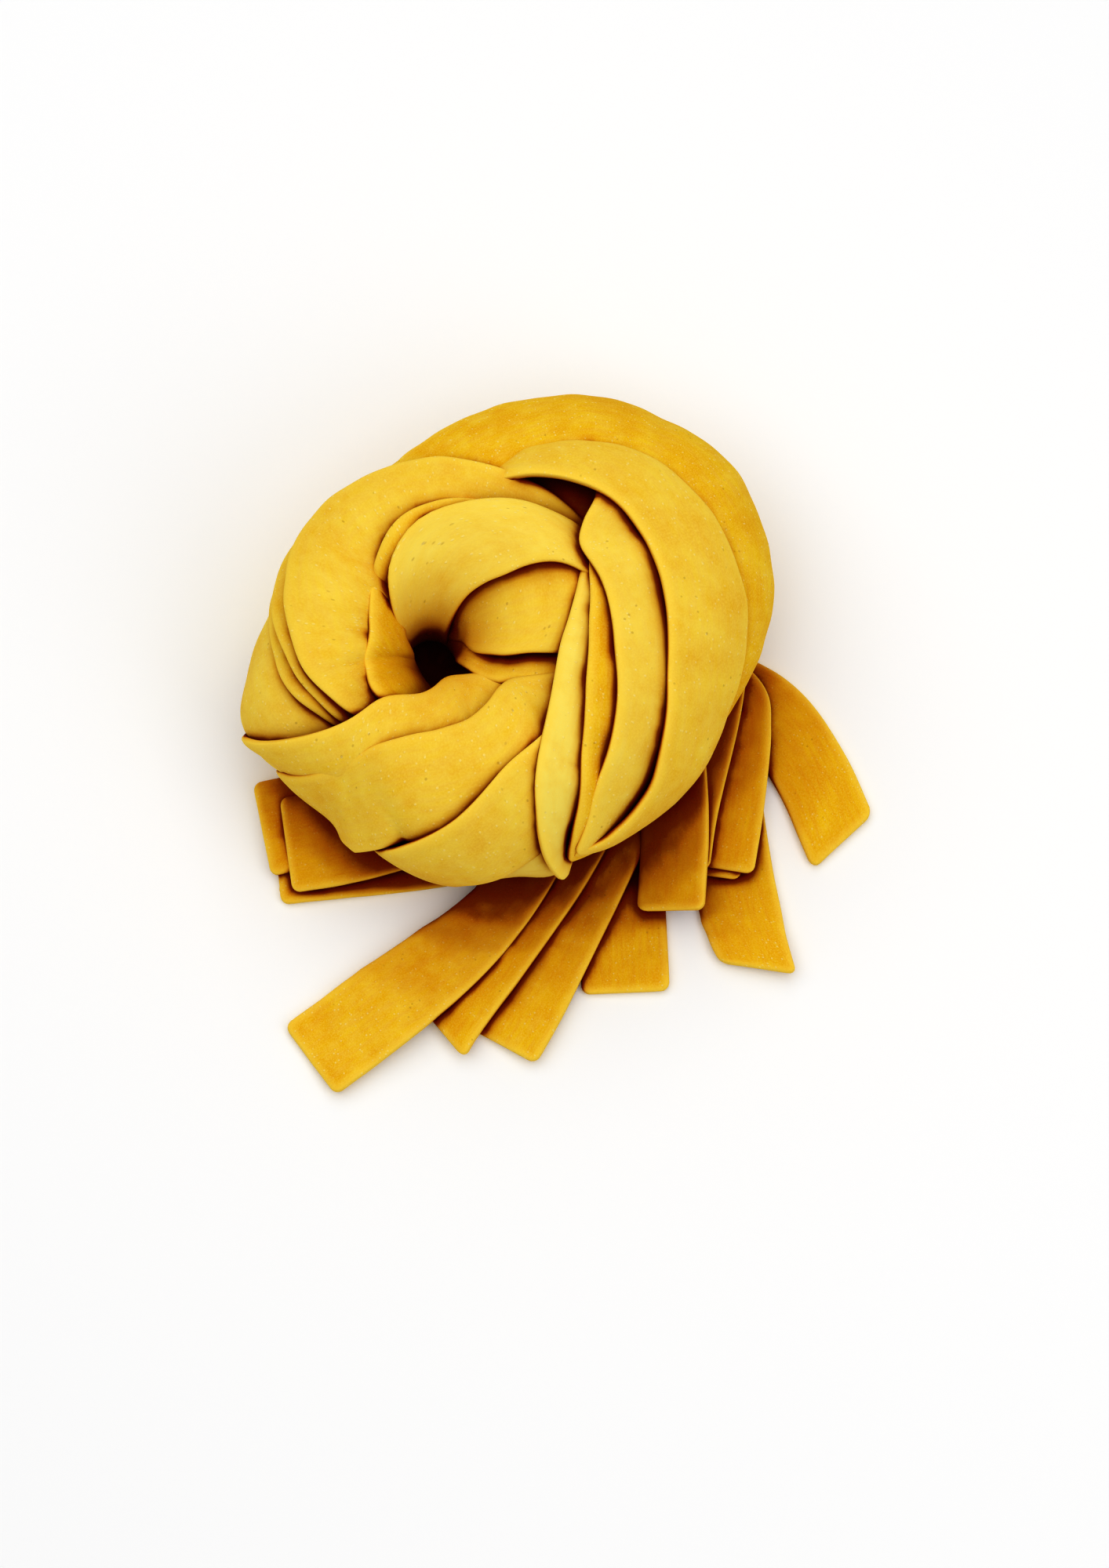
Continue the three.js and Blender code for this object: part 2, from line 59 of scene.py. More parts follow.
# %% Sizes of the nest, in millimetres and degrees
RIBBON_WIDTH = 18
LAYER = 2  # thickness of one ribbon
EYE = np.array([-25, 16.5])  # axis of the hole
EYE_RADIUS = 9
MIDDLE = np.array([-8.5, 22])  # middle of the oval
OVAL = np.array([52.4, 42.2])  # its half length and half width
OVAL_TURN = 35  # from x to its long axis
WAIST = 20  # height where the roll is widest
FOOT = 2  # height of its underside
CREST = 38  # height of its crest on average
CREST_SWING = 3  # how much the crest rises on its high side and falls on the other
CREST_SIDE = 20  # direction of the high side, seen from the eye
DENTS = [(243, 17, -4.5), (198, 12, 1.5), (280, 14, 1.5)]  # at, half width, mm outwards
FOOTPRINT_MIDDLE = np.array([0.56, 0.39])
print("roll:", 2 * OVAL, "mm across, up to", CREST + CREST_SWING, "mm high")


# %% [markdown]
# ## The two surfaces that ribbons lie on
#
# A wound ribbon needs a surface to be laid on. It could be sculpted, but the roll is written
# as a function of two angles instead, so a ribbon's path is a short list of angles and needs
# no points in space. The table is the same idea with plain x and y.


# %% The roll
def reach(theta):
    """Distance from the eye's axis to the outside of the roll in direction theta.

    A ray from the eye meets the oval where a quadratic in the distance is zero; each dent
    adds a bell curve of the angle to that distance."""
    turn = math.radians(OVAL_TURN)
    spin = np.array([[math.cos(turn), math.sin(turn)], [-math.sin(turn), math.cos(turn)]])
    start = spin @ (EYE - MIDDLE) / OVAL
    ray = np.stack([np.cos(theta), np.sin(theta)], -1) @ spin.T / OVAL
    a = (ray * ray).sum(-1)
    b = (ray * start).sum(-1)
    r = (-b + np.sqrt(b * b - a * (start @ start - 1))) / a
    for at, half, out in DENTS:
        off = theta - math.radians(at)
        off = np.arctan2(np.sin(off), np.cos(off)) / math.radians(half)
        r = r + out * np.exp(-off * off)
    return r


def roll(theta, phi):
    """Point of the roll: theta turns round the nest, and phi round the roll itself.

    phi is 0 on the outside, 90 degrees on the crest and 180 degrees in the eye. The section
    is two half ellipses, one above the waist and one below it."""
    far = reach(theta)
    r = (far + EYE_RADIUS) / 2 + (far - EYE_RADIUS) / 2 * np.cos(phi)
    crest = CREST + CREST_SWING * np.cos(theta - math.radians(CREST_SIDE))
    rise = np.sin(phi)
    z = WAIST + np.where(rise > 0, crest - WAIST, WAIST - FOOT) * rise
    return np.stack([EYE[0] + r * np.cos(theta), EYE[1] + r * np.sin(theta), z], -1)


print("the roll reaches", reach(np.radians([0, 90, 180, 270])).round(1), "mm from the eye")


# %% The table, and how a surface slopes
def table(x, y):
    """Point of the table top, which is flat at height 0."""
    return np.stack([x, y, np.zeros_like(x)], -1)


def unit(vectors):
    """Each vector divided by its own length."""
    return vectors / np.linalg.norm(vectors, axis=-1, keepdims=True)


def slopes(surface, p, q):
    """The directions in which a surface runs as p and as q grow, and its outward normal.

    Both slopes are central differences over a very small step; the normal is their cross
    product."""
    step = 1e-3  # radians on the roll, millimetres on the table
    along_p = (surface(p + step, q) - surface(p - step, q)) / (2 * step)
    along_q = (surface(p, q + step) - surface(p, q - step)) / (2 * step)
    return along_p, along_q, unit(np.cross(along_p, along_q))


print("the table's normal is", slopes(table, np.zeros(1), np.zeros(1))[2][0])

# %% [markdown]
# ## The path of a ribbon
#
# A path is given by a few stations. A Bezier curve would need handles; the one used here
# finds its own slopes. It is sampled closely at the two ends, where the cut edge is rounded,
# and evenly in between.

# %% Curves through stations
EDGE_ROUND = 1.5  # how far in from a cut edge the ribbon starts to thin out
EDGE_LINES = 5  # mesh lines across that rounded zone
MESH_STEP = 1.1  # distance between two mesh lines elsewhere
CURVE_STEPS = 24  # samples between two stations when a curve's length is measured


def catmull_rom(rows, t):
    """Smooth curve through rows, where t counts the stations passed.

    Between two stations the value is the cubic that meets both and has, at each, the slope
    of the line through its neighbours."""
    first, last = 2 * rows[0] - rows[1], 2 * rows[-1] - rows[-2]
    knots = np.vstack([first, rows, last])
    i = np.clip(t.astype(int), 0, len(rows) - 2)
    u = (t - i)[:, None]
    a, b, c, d = (knots[i + k] for k in range(4))
    return b + 0.5 * u * (c - a + u * (2 * a - 5 * b + 4 * c - d + u * (3 * (b - c) + d - a)))


def marks(total):
    """Places from 0 to total: close together near both ends, then evenly spaced."""
    near = EDGE_ROUND * (1 - np.cos(np.linspace(0, math.pi / 2, EDGE_LINES)))[:-1]
    count = max(2, round((total - 2 * EDGE_ROUND) / MESH_STEP))
    inner = np.linspace(EDGE_ROUND, total - EDGE_ROUND, count + 1)
    return np.concatenate([near, inner, (total - near)[::-1]])


def walk(surface, rows):
    """Stations at the marks along the curve, the marks, and the curve's length."""
    t = np.linspace(0, len(rows) - 1, CURVE_STEPS * (len(rows) - 1) + 1)
    fine = catmull_rom(rows, t)
    steps = np.linalg.norm(np.diff(surface(fine[:, 0], fine[:, 1]), axis=0), axis=1)
    length = np.concatenate([[0], np.cumsum(steps)])
    places = marks(length[-1])
    stations = np.stack([np.interp(places, length, column) for column in fine.T], 1)
    return stations, places, length[-1]


print("a 100 mm ribbon has", len(marks(100.0)), "rows of", len(marks(RIBBON_WIDTH)), "points")


# %% [markdown]
# ## The width of a ribbon
#
# A flat strip laid on a curved surface runs straight across it, at right angles to its path.
# A curve with a flat profile would cut through the surface wherever that bends across the
# path. So each row of the mesh starts on the stationed edge and marches over the surface, one
# mesh line after the other. All the rows march at once, as arrays.

# %% March across the surface
STEADY_LENGTH = 7  # mm along the ribbon over which neighbouring rows pull each other straight


def dot(a, b):
    """Dot product of two arrays of vectors."""
    return (a * b).sum(-1)


def march(surface, p, q, heading, distances):
    """Surface coordinates at growing distances from the starts (p, q).

    At each step the wanted move is written as so much of one slope and so much of the other,
    by solving the two equations of the surface's own metric; then the heading is laid flat
    on the surface again, which keeps the line straight."""
    rows = [(p, q)]
    for step in np.diff(distances, axis=1).T:
        along_p, along_q, _ = slopes(surface, p, q)
        pp, pq, qq = dot(along_p, along_p), dot(along_p, along_q), dot(along_q, along_q)
        hp, hq = dot(along_p, heading) * step, dot(along_q, heading) * step
        det = pp * qq - pq * pq
        p, q = p + (hp * qq - hq * pq) / det, q + (pp * hq - pq * hp) / det
        normal = slopes(surface, p, q)[2]
        heading = unit(heading - dot(heading, normal)[:, None] * normal)
        rows.append((p, q))
    return np.stack([a for a, _ in rows], 1), np.stack([b for _, b in rows], 1)


def steady(headings, along):
    """Headings averaged with their neighbours by a bell curve of the distance along the ribbon.

    On the inside of a tight bend the lines across a ribbon would cross; real dough gathers
    there instead, and the averaged lines do the same."""
    weight = np.exp(-((along[:, None] - along) / STEADY_LENGTH) ** 2) * np.gradient(along)
    return unit(weight @ headings)


print("rows are steadied over", STEADY_LENGTH, "mm")

# %% [markdown]
# ## The plan of a ribbon
#
# Seen flat, a ribbon is a long rectangle. Its cut ends have small round corners and may be
# slanted, and where ribbons are pinched together it gets narrower. All of this is worked out
# as a grid of places on the surface, before anything is bent.

# %% Lay out a ribbon
SLANT_LENGTH = 16  # mm from the end over which a slanted cut draws the dough along
CORNER_ROUND = 1.8  # mm, radius of a corner in the plan
MOST_TRIM = 0.45  # share of the width that a corner takes off at most, so that an end keeps some


def corner_trim(from_end):
    """How much a quarter circle of CORNER_ROUND takes off each side, that far from a cut end."""
    x = np.clip(1 - from_end / CORNER_ROUND, 0, 1)
    return CORNER_ROUND * (1 - np.sqrt(1 - x * x))


def spread(strand, path, along, ahead, places, width):
    """Surface coordinates of every point, from its place in millimetres across the ribbon.

    With both edges stationed, a point is the mix of the two by its share of the width; with
    one edge stationed, it is marched to from there."""
    surface, edge = strand["surface"], strand["edge"]
    p, q = path[:, 0], path[:, 1]
    if edge == "both":
        part = places / width[:, None]
        p = p[:, None] * (1 - part) + path[:, 2:3] * part
        q = q[:, None] * (1 - part) + path[:, 3:4] * part
        return p, q
    left = unit(np.cross(slopes(surface, p, q)[2], ahead))
    heading = steady(-left if edge == "left" else left, along)
    away = width[:, None] - places[:, ::-1] if edge == "left" else places
    p, q = march(surface, p, q, heading, np.hstack([0 * away[:, :1], away]))
    p, q = p[:, 1:], q[:, 1:]
    return (p[:, ::-1], q[:, ::-1]) if edge == "left" else (p, q)


def lay_out(strand):
    """Grid of surface coordinates for one ribbon, with the layers below and the end's slant.

    Rows run along the ribbon and columns from its right edge to its left edge."""
    surface, edge = strand["surface"], strand["edge"]
    rows = np.array(strand["stations"], float)
    angles = 4 if edge == "both" else 2
    if surface is roll:
        rows[:, :angles] = np.radians(rows[:, :angles])
    path, along, total = walk(surface, rows)
    ahead = unit(np.gradient(surface(path[:, 0], path[:, 1]), along, axis=0))
    share = along / total
    follow = lambda name: np.interp(share, *np.transpose(strand[name]))[:, None]
    width = strand["width"] * follow("narrowing")[:, 0]
    trim = np.minimum(corner_trim(np.minimum(along, total - along)), MOST_TRIM * width)
    across = marks(float(RIBBON_WIDTH)) / RIBBON_WIDTH  # 0 right edge, 1 left edge
    places = trim[:, None] + (width - 2 * trim)[:, None] * across  # mm from the right edge
    p, q = spread(strand, path, along, ahead, places, width)
    share_across = places / width[:, None]
    far = 1 - share_across if edge == "left" else share_across
    slant = strand["slant"] * np.clip(1 - (total - along) / SLANT_LENGTH, 0, 1)[:, None] * far
    layers = path[:, angles][:, None]
    layers = layers + follow("bank") * (2 * share_across - 1) + follow("flare") * far * far
    return {
        "p": p, "q": q, "layers": layers, "slant": slant[..., None] * ahead[:, None],
        "along": along[:, None], "total": total, "across": places,
        "from_side": np.minimum(places - trim[:, None], (width - trim)[:, None] - places),
    }


print("a corner takes off", corner_trim(np.array([0, CORNER_ROUND / 2])).round(2), "mm")

# %% [markdown]
# ## The body of a ribbon
#
# The grid becomes the middle sheet of the ribbon. Dough rolled by hand is never quite even,
# so a few long, low waves are added. Then both skins are set off from the sheet by half the
# thickness, which falls away near a cut edge because the knife presses the dough down. The
# Solidify modifier could give the thickness, but not that rounding.

# %% Sheet and skins
WAVES = [(31, 0.22), (19, 0.16), (11, 0.09), (7, 0.05)]  # wavelength and height, mm
WAVE_TURN = 0.7  # radians at most between a wave's run and the ribbon's length
EDGE_THICKNESS = 0.42  # thickness left at the very edge, as a share


def waves(along, across, seed):
    """Low unevenness: a sum of sine waves that run in random directions, mostly lengthwise."""
    rng = np.random.default_rng(seed)
    total = np.zeros(np.broadcast(along, across).shape)
    for length, height in WAVES:
        turn, phase = rng.uniform(-WAVE_TURN, WAVE_TURN), rng.uniform(0, 2 * math.pi)
        run = along * math.cos(turn) + across * math.sin(turn)
        total += height * np.sin(2 * math.pi * run / length + phase)
    return total


def thinning(distance):
    """Share of the thickness that is left at a distance from a cut edge.

    It is a quarter ellipse from EDGE_THICKNESS at the edge to 1 at EDGE_ROUND."""
    x = np.clip(1 - distance / EDGE_ROUND, 0, 1)
    return EDGE_THICKNESS + (1 - EDGE_THICKNESS) * np.sqrt(1 - x * x)


def ribbon_skins(strand, seed):
    """Points of the upper and the lower skin, and the distances that the finish needs.

    Each point of the sheet is a point of the surface plus its normal times the height of the
    layers below; nothing on the table goes below it."""
    grid = lay_out(strand)
    surface = strand["surface"]
    base, normal = surface(grid["p"], grid["q"]), slopes(surface, grid["p"], grid["q"])[2]
    along, across = grid["along"], grid["across"]
    lift = (grid["layers"] + 0.5) * LAYER + waves(along, across, seed)
    if surface is table:
        lift = np.maximum(lift, LAYER / 2)
    sheet = base + normal * lift[..., None] + grid["slant"]
    turned = unit(np.cross(np.gradient(sheet, axis=0), np.gradient(sheet, axis=1)))
    from_side = grid["from_side"]
    from_end = np.minimum(along, grid["total"] - along)
    half = LAYER / 2 * np.minimum(thinning(from_side), thinning(from_end))
    top, bottom = sheet + turned * half[..., None], sheet - turned * half[..., None]
    if surface is table:
        bottom[..., 2] = np.maximum(bottom[..., 2], 0)
    cut = np.minimum(from_side, from_end)
    return top, bottom, along, across, cut


print("thickness left at an edge:", round(LAYER * float(thinning(np.array(0.0))), 2), "mm")


# %% Meshes
def tube_faces(rows, columns):
    """Quads of a closed strip: rings of the upper skin out and the lower skin back, and caps."""
    ring = np.arange(rows * 2 * columns).reshape(rows, 2 * columns)
    here, onward = ring, np.roll(ring, -1, axis=1)
    sides = np.stack([here[:-1], here[1:], onward[1:], onward[:-1]], -1).reshape(-1, 4)
    caps = []
    for row, order in ((ring[0], 1), (ring[-1], -1)):
        near, far = row[:columns], row[columns:][::-1]
        quads = np.stack([near[:-1], near[1:], far[1:], far[:-1]], -1)
        caps.append(quads[:, ::order])
    return np.concatenate([sides, *caps])


def make_mesh(name, points, faces, values):
    """Object from points in millimetres, with one float attribute for each entry of values."""
    mesh = bpy.data.meshes.new(name)
    moved = points.reshape(-1, 3) - [*FOOTPRINT_MIDDLE, 0]
    mesh.from_pydata(moved * MM, [], faces.tolist())
    mesh.polygons.foreach_set("use_smooth", np.ones(len(mesh.polygons), bool))
    for label, numbers in values.items():
        attribute = mesh.attributes.new(label, "FLOAT", "POINT")
        attribute.data.foreach_set("value", np.asarray(numbers, np.float32).ravel())
    mesh.update()
    piece = bpy.data.objects.new(name, mesh)
    bpy.context.scene.collection.objects.link(piece)
    return piece


def ribbon(name, strand, skins, shade):
    """One ribbon as a closed mesh that knows its own length, width and depth everywhere."""
    top, bottom, along, across, cut = skins
    rows, columns = cut.shape
    ring = lambda upper, lower: np.concatenate([upper, lower[:, ::-1]], 1)
    values = {
        "along": ring(along + 0 * across, along + 0 * across) + strand["pattern_start"],
        "across": ring(across, across),
        "depth": ring(0 * cut, 0 * cut + LAYER),
        "cut": ring(cut, cut),
        "flour": ring(0 * cut, 0 * cut) + strand["flour"],
        "open": ring(*shade),
    }
    return make_mesh(name, ring(top, bottom), tube_faces(rows, columns), values)


print("a strip of 3 by 4 points has", len(tube_faces(3, 4)), "faces")

# %% [markdown]
# ## Camera and floor
#
# The nest is looked down on from the front, a little short of straight above, through a long
# lens, because a short one would swell whatever stands highest. The floor is plain and nearly
# white.

# %% Camera and floor
CAMERA_TILT = math.radians(76)  # above the horizon
CAMERA_DISTANCE = 900
CAMERA_AIM = np.array([0, -8, 15]) - [*FOOTPRINT_MIDDLE, 0]
VIEW_HEIGHT = 318.5  # mm that the upright frame shows at the aim
FLOOR_SIZE = 3  # metres, far more than the view takes in

camera_data = bpy.data.cameras.new("camera")
camera = bpy.data.objects.new("camera", camera_data)
bpy.context.scene.collection.objects.link(camera)
camera_data.lens = camera_data.sensor_width * CAMERA_DISTANCE / VIEW_HEIGHT
back = np.array([0, -math.cos(CAMERA_TILT), math.sin(CAMERA_TILT)])
camera.location = (CAMERA_AIM + back * CAMERA_DISTANCE) * MM
camera.rotation_euler = (math.pi / 2 - CAMERA_TILT, 0, 0)
bpy.context.scene.camera = camera


def floor():
    """A flat square at height 0."""
    mesh = bpy.data.meshes.new("floor")
    half = FLOOR_SIZE / 2
    corners = [(-half, -half, 0), (half, -half, 0), (half, half, 0), (-half, half, 0)]
    mesh.from_pydata(corners, [], [(0, 1, 2, 3)])
    made = bpy.data.objects.new("floor", mesh)
    bpy.context.scene.collection.objects.link(made)
    return made


ground = floor()
print("camera at", [round(value, 3) for value in camera.location])

# %% [markdown]
# ## The ribbons
#
# `on_roll` ribbons are stationed by degrees round the nest, degrees round the roll and layers
# below. `on_table` ribbons are stationed by x and y in millimetres and layers below. The
# edge says which side of the ribbon the stations follow, looking along it. Bank lifts the
# left side and lowers the right one, flare lifts the side away from the stations, and
# narrowing is the share of the width that is left; each is a list of places along the ribbon,
# 0 to 1, with its value there. Stationing the edge that shows, and not the middle, puts the
# visible steps of the nest exactly where they belong.

# %% Two short ways to describe a ribbon
WHOLE = [(0, 1), (1, 1)]
NONE = [(0, 0), (1, 0)]


def on_roll(edge, stations, bank=0, flare=NONE, narrowing=WHOLE, width=RIBBON_WIDTH):
    """A ribbon wound on the nest; a bank given as one number holds all along it."""
    bank = bank if isinstance(bank, list) else [(0, bank), (1, bank)]
    return dict(surface=roll, edge=edge, stations=stations, bank=bank, flare=flare,
                narrowing=narrowing, width=width, slant=0)


def on_table(stations, bank=0, narrowing=WHOLE, width=RIBBON_WIDTH, slant=0):
    """A loose end lying on the table, stationed along its left edge."""
    return dict(surface=table, edge="left", stations=stations, bank=[(0, bank), (1, bank)],
                flare=NONE, narrowing=narrowing, width=width, slant=slant)


strands = {}
print("two kinds of ribbon")

# %% [markdown]
# ## The outside, the back and the foot
#
# The outer turn holds the bundle together: it comes up at the right, runs over the back and
# dives under the turns on top. The lower courses could be left out, as they hardly show from
# above, but the nest is seen from all sides, and gaps between the upper turns open on them.

# %% Round the outside, the back and the foot
strands["back_band"] = on_roll("left", [
    (128, 80, -1.4), (114, 62, -0.7), (102, 50, 0.1), (88, 42, 0.6), (67, 26, 1),
    (48, 13, 1), (28, 6, 1), (10, 0, 0.6), (-10, -6, -0.2), (-28, -14, -0.6),
], bank=0.3)
strands["left_flank"] = on_roll("right", [
    (236, 66, -2), (222, 72, -0.8), (205, 69, 0.2), (188, 59, 0.8), (172, 36, 0.7),
    (156, 14, 0.6), (138, 0, 0.4), (120, -8, -0.2),
], bank=1)
strands["low_1"] = on_roll("left", [
    (150, -36, -1.2), (105, -24, -0.6), (60, -22, -0.2), (0, -30, -0.2), (-24, -40, -0.4)])
strands["low_2"] = on_roll("left", [
    (135, -78, 0), (105, -66, 0), (60, -60, 0), (15, -66, 0), (-10, -80, -0.4)])
strands["low_3"] = on_roll("left", [
    (240, -44, -0.9), (190, -42, -0.6), (140, -28, -0.8), (118, -14, -1.2)])
strands["low_4"] = on_roll("left", [
    (235, -80, -0.2), (205, -74, 0), (175, -72, 0), (150, -78, -0.2)])
strands["low_5"] = on_roll("left", [
    (196, 36, -1), (178, 25, -0.5), (156, 11, -0.4), (134, 5, -0.4), (110, 6, -0.6)])
strands["low_6"] = on_roll("right", [
    (258, 74, -0.8), (248, 48, -0.5), (240, 22, -0.4), (235, -5, -0.4), (230, -32, -0.4),
    (226, -56, -0.4)])
print(len(strands), "ribbons so far")

# %% [markdown]
# ## Up the left side
#
# Three turns climb the left side like stairs and pass over the top. Modelled apart and then
# pushed together they would cut into each other, so each is told how many layers it has below
# it, and lies on them.

# %% Up the left side and over the top
strands["left_3"] = on_roll("left", [
    (238, 70, -1.9), (222, 73, -0.8), (205, 65, 0.4), (186, 50, 0.9), (168, 34, 0.9),
    (150, 24, 0.7), (132, 28, 0.3), (112, 48, -0.3), (98, 66, -0.8), (86, 76, -1.2)])
strands["left_2"] = on_roll("left", [
    (240, 80, -1.6), (226, 80, -0.2), (208, 77, 1.3), (190, 68, 1.9), (172, 52, 2),
    (156, 40, 1.9), (138, 38, 1.5), (118, 50, 0.9), (100, 66, 0.4), (86, 78, -0.2)])
strands["left_1"] = on_roll("left", [
    (250, 98, -1.9), (232, 90, 0.4), (215, 86, 2), (198, 80, 2.8), (180, 72, 3),
    (160, 63, 3), (140, 53, 2.8), (120, 55, 2.4), (92, 67, 1.9), (70, 80, 1.4),
    (54, 87, 0.5), (38, 90, -0.9), (24, 90, -2.4),
], bank=0.4)
print(len(strands), "ribbons so far")

# %% [markdown]
# ## The eye
#
# One ribbon stands as the wall of the eye, and the others turn over on themselves in a swirl
# that rises out of it. Where a ribbon twists so much that the dough stretches or gathers, its
# width can't follow from one edge, so two of them are stationed along both edges.

# %% The eye's wall and the swirl that rises out of it
strands["eye_wall"] = on_roll("left", [
    (250, 106, -0.9), (232, 108, 1.2), (205, 113, 2.7), (179, 114, 3.3), (152, 110, 3.2),
    (130, 105, 2.2), (110, 104, 0.6),
], bank=0.3, narrowing=[(0, 1), (0.2, 1), (0.35, 0.66), (0.48, 0.46), (0.58, 0.36), (1, 0.3)])
strands["swirl_0"] = on_roll("left", [
    (140, 108, 1.8), (122, 100, 2.8), (104, 94, 3.1), (86, 94, 2.6), (68, 97, 1.4)], bank=0.3)
strands["swirl_3"] = on_roll("right", [
    (50, 190, 1), (10, 180, 1), (-24, 164, 1.1), (-38, 142, 1), (-36, 124, 0.7),
    (-28, 108, 0.1), (-18, 92, -0.8)], bank=-0.3)
strands["swirl_2"] = on_roll("both", [  # right edge, left edge, layers below
    (80, 186, 110, 168, 0.6), (45, 174, 98, 156, 1.4), (16, 163, 90, 144, 2),
    (-14, 148, 80, 132, 2.3), (-19, 130, 68, 121, 2.4), (-13, 116, 55, 111, 2.1),
    (-10, 103, 44, 104, 1.5), (-6, 88, 36, 98, 0.2)], bank=0.4)
strands["swirl_1"] = on_roll("both", [
    (44, 196, 200, 184, 1), (46, 174, 194, 158, 1.5), (48, 160, 182, 145, 2.5),
    (51, 148, 160, 133, 3.3), (49, 138, 138, 120, 3.8), (42, 130, 120, 108, 4.1),
    (36, 124, 97, 100, 4.1), (32, 116, 74, 99, 3.8), (27, 108, 58, 98, 3.2),
    (21, 102, 44, 97, 2.2), (14, 96, 32, 94, 0.8), (4, 90, 20, 90, -0.8)])
strands["gap_floor"] = on_roll("left", [
    (84, 80, -1.4), (66, 74, -1.3), (48, 68, -1.3), (30, 62, -1.4)])
print(len(strands), "ribbons so far")

# %% [markdown]
# ## The front
#
# Wide ribbons run from the eye across the front and down the left side. Their near edges show
# as soft steps, and where one crosses the rim of the nest it stands off it a little: flare and
# a bank that grows towards the end do that without a second shape.

# %% Across the front from the eye, out over the left side
strands["front_1"] = on_roll("right", [
    (352, 88, -1.9), (342, 100, -1.6), (331, 117, -1), (322, 138, 0.2), (296, 145, 0.5),
    (266, 130, 0.7), (247, 116, 0.8), (236, 105, 0.8), (230, 88, 0.7), (221, 64, 0.6),
    (211, 32, -0.1), (204.5, 8, -0.3), (200.5, -12, -0.6),
], bank=[(0, -1.2), (0.7, -1.2), (0.84, -2.2), (1, -3)])
strands["front_2"] = on_roll("right", [
    (352, 92, -0.6), (342, 104, 0), (332, 117, 0.6), (321, 117, 1.1), (308, 111, 1.5),
    (296, 107, 1.8), (279, 104, 2), (261, 95, 1.7), (246, 77, 1), (235, 56, 0.7),
    (227, 34, 0.7), (219, 8, 0.7), (214, -12, 0.4),
], bank=-0.3, flare=[(0, 0), (0.6, 0), (0.76, 3), (0.9, 2.4), (1, 1.4)])
strands["front_3"] = on_roll("right", [
    (330, 86, 0.9), (316, 83, 1.5), (300, 77, 2.4), (284, 63, 2.6), (270, 42, 2.2),
    (262, 22, 1.7), (257, 2, 1.2), (252.5, -18, 0.9), (249, -36, 0.8),
], bank=-0.4, width=15.5)
strands["front_4"] = on_roll("left", [
    (305, -10, 2.1), (300, -12, 2), (292, -16, 1.3), (280, -30, 0.6)])
print(len(strands), "ribbons so far")

# %% [markdown]
# ## The right-hand bundle
#
# Six turns lie stepped over one another at the right and are pinched together at the front,
# where the winding hand let go. A taper modifier would bend their edges straight; a
# narrowing that starts late keeps each ribbon wide until just before the point.

# %% The right-hand bundle, stepped one over the other
strands["right_6"] = on_roll("right", [
    (60, 40, -1), (40, 34, -0.6), (18, 30, -0.4), (-2, 24, -0.6), (-20, 12, -1)])
strands["right_5"] = on_roll("right", [
    (70, 70, -0.4), (48, 62, 0.2), (28, 52, 0.3), (8, 44, 0.2), (-12, 34, -0.4), (-30, 20, -0.8),
], bank=-0.3)
strands["right_1"] = on_roll("right", [
    (32, 92, 0), (18, 103, 0.9), (-4, 106, 1.2), (-24, 99, 1.2), (-42, 84, 1.4),
    (-53, 68, 1.8), (-58.4, 50, 2.2), (-60.4, 34, 2.6), (-60, 20, 2.9), (-58, 5, 3.1),
], bank=-1.2, narrowing=[(0, 1), (0.7, 1), (0.84, 0.52), (0.9, 0.33), (0.95, 0.22), (1, 0.2)])
strands["right_2"] = on_roll("right", [
    (34, 90, 0.4), (22, 98, 1.2), (8, 99, 1.5), (-5, 96, 1.6), (-22, 86, 1.6),
    (-38, 67, 1.6), (-49, 42.5, 2.1), (-53.6, 27, 2.5), (-56, 14, 2.6),
], bank=[(0, -1.2), (0.75, -1.2), (1, -0.4)], narrowing=[(0, 1), (0.8, 1), (0.92, 0.75), (1, 0.4)])
strands["right_3"] = on_roll("right", [
    (46, 70, 0), (39, 82, 1.3), (34, 93, 1.9), (27, 98.5, 2.2), (14, 95, 2.2),
    (1, 90, 2.2), (-12, 82, 2.1), (-30, 64.5, 2), (-42, 50, 2.2), (-48.4, 36, 2.6), (-54, 23, 3),
], bank=[(0, -1.3), (0.75, -1.3), (1, -0.5)], narrowing=[(0, 1), (0.8, 1), (0.92, 0.8), (1, 0.45)])
strands["right_4"] = on_roll("right", [
    (94, 87, -3.4), (84, 88, -2.4), (74, 88, -1.4), (68, 88, -0.2), (61, 87.5, 1), (54, 86, 1.9),
    (44, 84, 2.3), (34, 81, 2.5), (24, 79, 2.5), (8, 74, 2.4), (-8, 65, 2.3),
    (-21.5, 50.5, 2.2), (-34, 33, 2.4), (-45, 24.5, 2.6), (-54, 23.4, 2.6),
], bank=-1.1, flare=[(0, 0), (0.82, 0), (1, -0.8)], narrowing=[
    (0, 0.2), (0.22, 0.45), (0.31, 0.68), (0.43, 0.88), (0.54, 1), (0.85, 1), (1, 0.4)])
print(len(strands), "ribbons so far")

# %% [markdown]
# ## The loose ends
#
# The cut ends of the ribbons come out from under the nest and lie fanned out on the table, in
# stacks of up to four. They are flat, so plain x and y are enough, and the same layers that
# lift the turns of the nest stack them. Some were cut askew, which is what slant is for.

